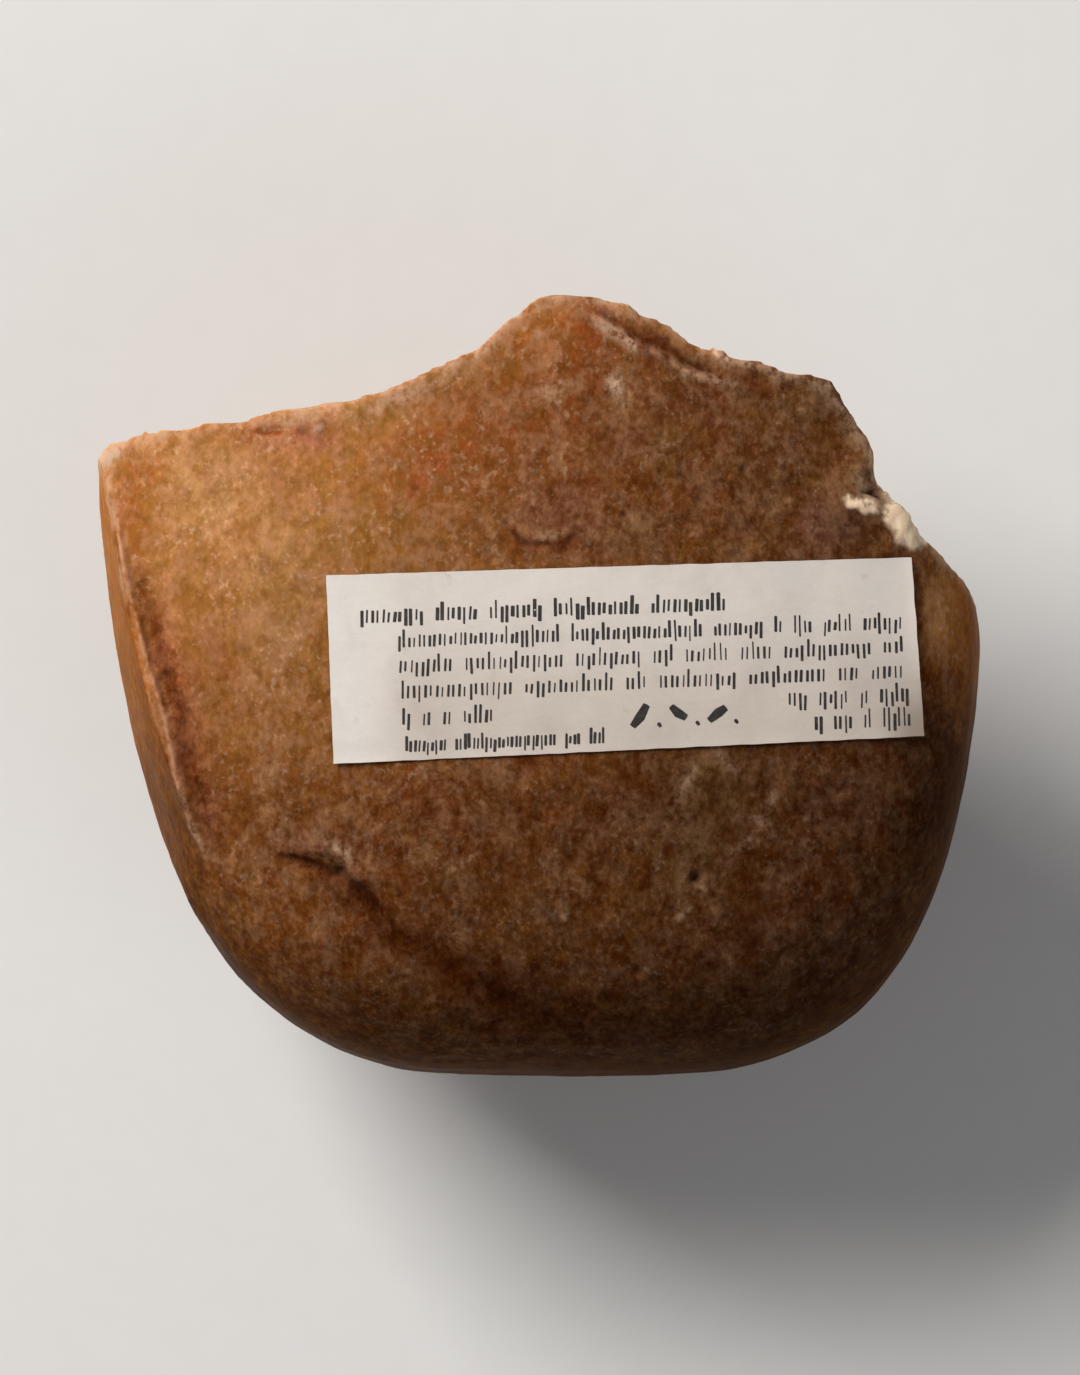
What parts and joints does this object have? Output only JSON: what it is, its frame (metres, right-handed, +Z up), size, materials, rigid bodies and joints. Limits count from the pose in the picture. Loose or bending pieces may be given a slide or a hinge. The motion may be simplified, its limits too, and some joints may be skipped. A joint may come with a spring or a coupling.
{
  "type": "stone pebble tool",
  "caption": "Quartz pebble chopping tool with a flaked working edge along one side and a small paper collection label glued to its smooth face.",
  "frame": {"origin": "middle of the bounding box, on the surface the stone lies on", "axes": "+X along the stone's length, to the right as its labelled face is read; +Y towards the flaked working edge; +Z up, out of the labelled face"},
  "size_m": [0.0699, 0.062, 0.0374],
  "materials": {
    "quartz": "waxy, water-worn, iron-stained quartz",
    "paper": "matt, slightly soiled paper with dark print"
  },
  "bodies": {
    "root": {"pebble": "quartz", "paper_label": "paper"}
  },
  "joints": []
}
